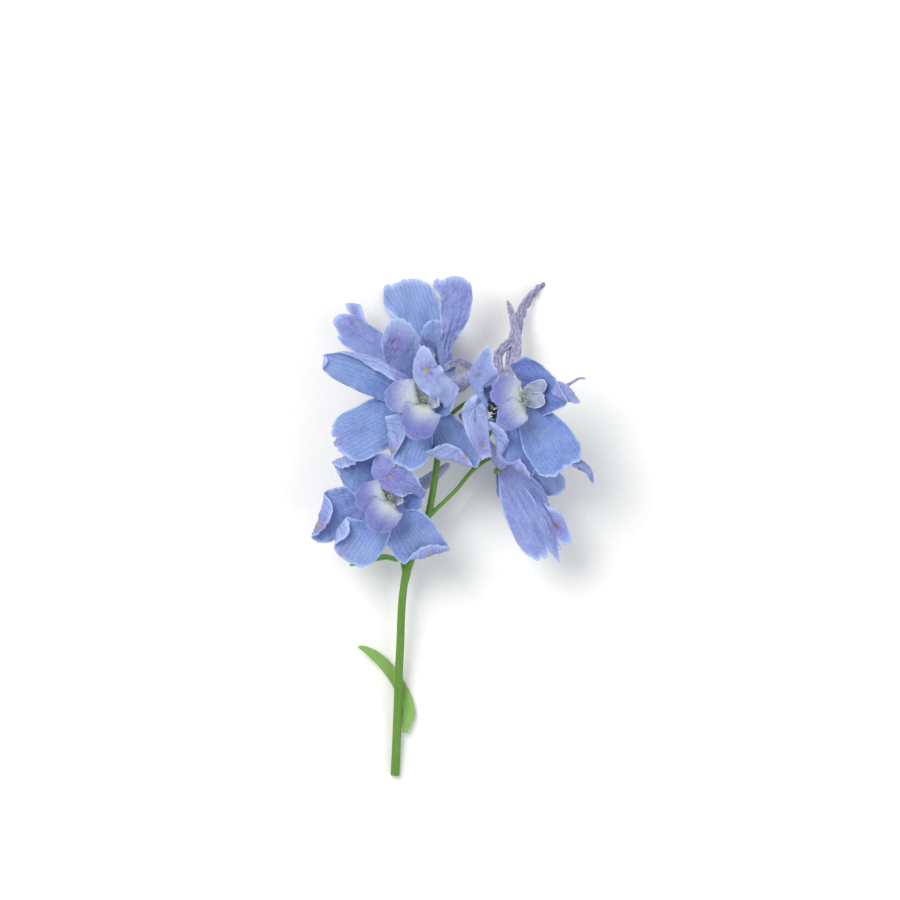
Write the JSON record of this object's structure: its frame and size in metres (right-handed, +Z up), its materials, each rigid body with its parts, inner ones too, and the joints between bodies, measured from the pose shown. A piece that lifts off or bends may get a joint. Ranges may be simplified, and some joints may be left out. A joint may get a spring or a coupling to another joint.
{
  "type": "delphinium flowering sprig",
  "caption": "Cut sprig of a light blue garden delphinium: open spurred blooms and one fading bloom on a branching green stem, lying on a flat surface.",
  "frame": {"origin": "on the surface that the sprig lies on, under the middle of its outline", "axes": "+Y runs from the stem's cut end to the flowers, +Z up from the surface, +X to the right of somebody who looks down on it with the flowers at the top"},
  "size_m": [0.0696, 0.1242, 0.0316],
  "materials": {
    "stem": "satin",
    "leaf": "satin",
    "sepals": "satin",
    "petals": "satin",
    "stamens": "matte",
    "pods": "satin",
    "faded": "matte"
  },
  "bodies": {
    "root": {"stem": "stem", "leaf_lower": "leaf", "bract": "leaf", "bloom_left_sepals": "sepals", "bloom_left_petals": "petals", "bloom_left_stamens": "stamens", "bloom_left_pods": "pods", "bloom_top_sepals": "sepals", "bloom_top_petals": "petals", "bloom_top_stamens": "stamens", "bloom_top_pods": "pods", "bloom_right_sepals": "sepals", "bloom_right_petals": "petals", "bloom_right_stamens": "stamens", "bloom_right_pods": "pods", "bloom_lower_sepals": "sepals", "bloom_lower_petals": "petals", "bloom_lower_stamens": "stamens", "bloom_lower_pods": "pods", "bloom_hanging_sepals": "sepals", "bloom_hanging_petals": "petals", "bloom_hanging_stamens": "stamens", "bloom_hanging_pods": "pods", "bloom_faded": "faded"}
  },
  "joints": []
}
